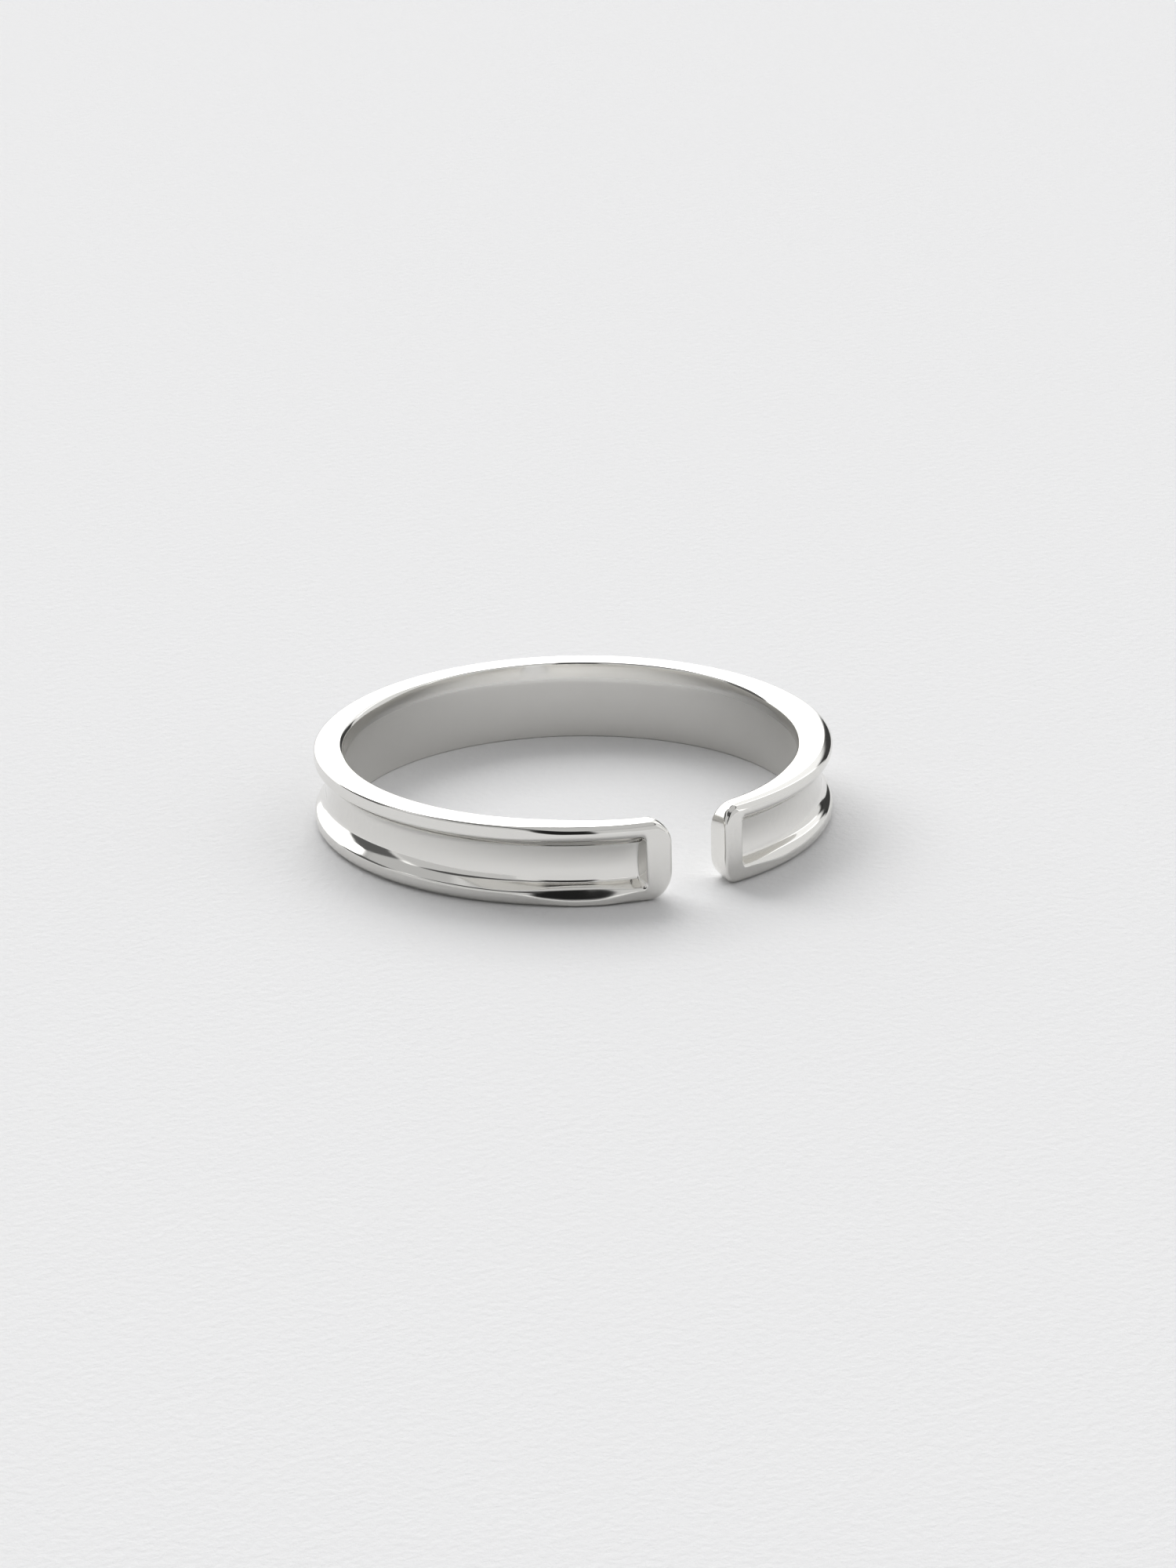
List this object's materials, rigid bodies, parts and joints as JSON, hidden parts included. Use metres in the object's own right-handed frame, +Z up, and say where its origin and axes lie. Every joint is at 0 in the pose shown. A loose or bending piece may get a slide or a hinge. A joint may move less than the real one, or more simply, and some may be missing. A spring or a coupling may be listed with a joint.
{
  "type": "open cuff ring",
  "caption": "Open finger ring lying on its side: a round metal band with a gap, a sunk channel round its outside, and solid caps at both tips.",
  "frame": {"origin": "centre of the footprint, on the surface that the ring lies on", "axes": "+Z up along the axis of the finger hole, -Y from the centre to the middle of the gap, +X to the right seen from the gap"},
  "size_m": [0.0196, 0.0195, 0.0031],
  "materials": {
    "polished_silver": null
  },
  "bodies": {
    "root": {"cuff_band": "polished_silver"}
  },
  "joints": []
}
